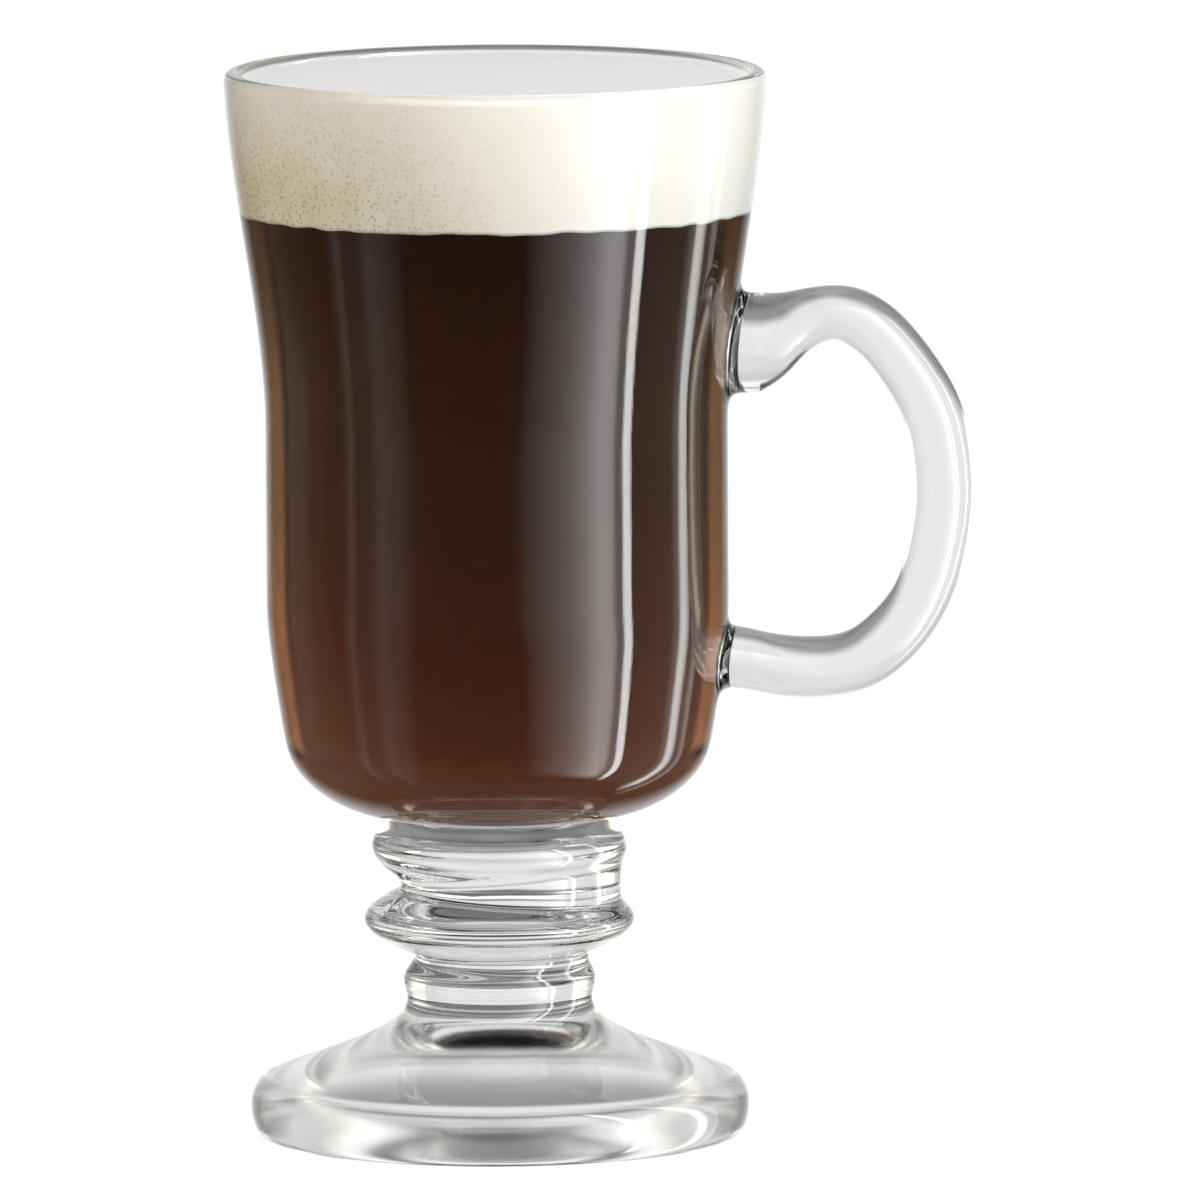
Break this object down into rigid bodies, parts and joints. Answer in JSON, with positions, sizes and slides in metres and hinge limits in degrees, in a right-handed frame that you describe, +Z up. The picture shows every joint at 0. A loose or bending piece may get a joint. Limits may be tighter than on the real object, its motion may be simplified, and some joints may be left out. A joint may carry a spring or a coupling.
{
  "type": "irish coffee glass mug",
  "caption": "Footed clear glass mug with a ringed stem, a hollow domed foot and a C-shaped handle, filled with coffee under a layer of cream.",
  "frame": {"origin": "centre of the ring that the foot rests on, on the mug's axis", "axes": "+Z up along the axis of the mug, +X from the axis towards the handle, +Y away from the viewer with the handle on the right"},
  "size_m": [0.1035, 0.0748, 0.148],
  "materials": {
    "clear_glass": "clear, pressed and fire polished",
    "coffee": "dark translucent liquid",
    "cream": "whipped cream, matte"
  },
  "bodies": {
    "root": {"bowl": "clear_glass", "stem": "clear_glass", "foot": "clear_glass", "handle": "clear_glass", "coffee": "coffee", "cream": "cream"}
  },
  "joints": []
}
